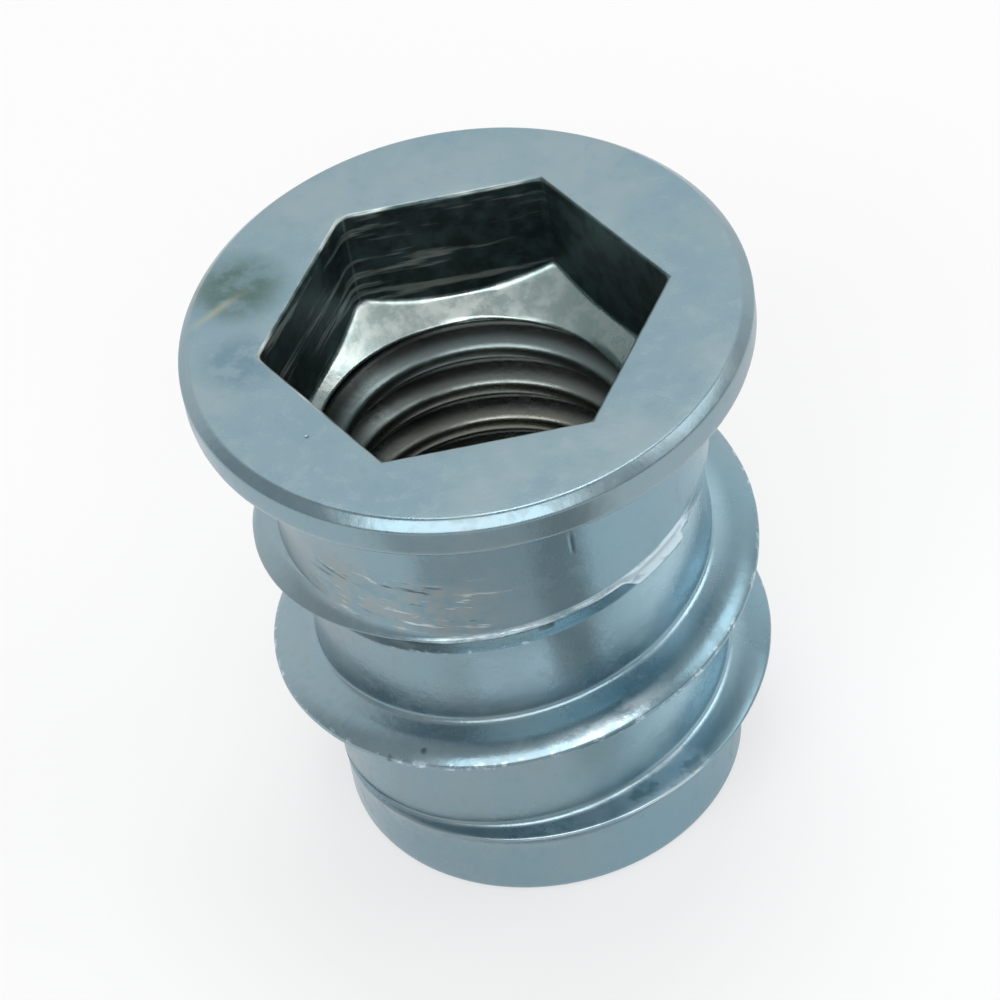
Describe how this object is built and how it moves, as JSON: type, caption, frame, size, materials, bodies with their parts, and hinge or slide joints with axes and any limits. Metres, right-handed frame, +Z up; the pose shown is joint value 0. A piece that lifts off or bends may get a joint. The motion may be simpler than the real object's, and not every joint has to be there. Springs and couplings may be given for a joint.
{
  "type": "threaded insert",
  "caption": "Flanged screw-in insert: a hexagon key socket over a machine-threaded bore, with a coarse right-hand thread outside for wood.",
  "frame": {"origin": "centre of the pilot end, on the insert's axis", "axes": "+Z up the axis to the top of the flange; the front is -Y, where one flat of the key socket lies; +X points at one of the socket's corners"},
  "size_m": [0.0164, 0.0164, 0.018],
  "materials": {
    "insert": "satin blue-grey zinc plate"
  },
  "bodies": {
    "root": {"insert": "insert"}
  },
  "joints": []
}
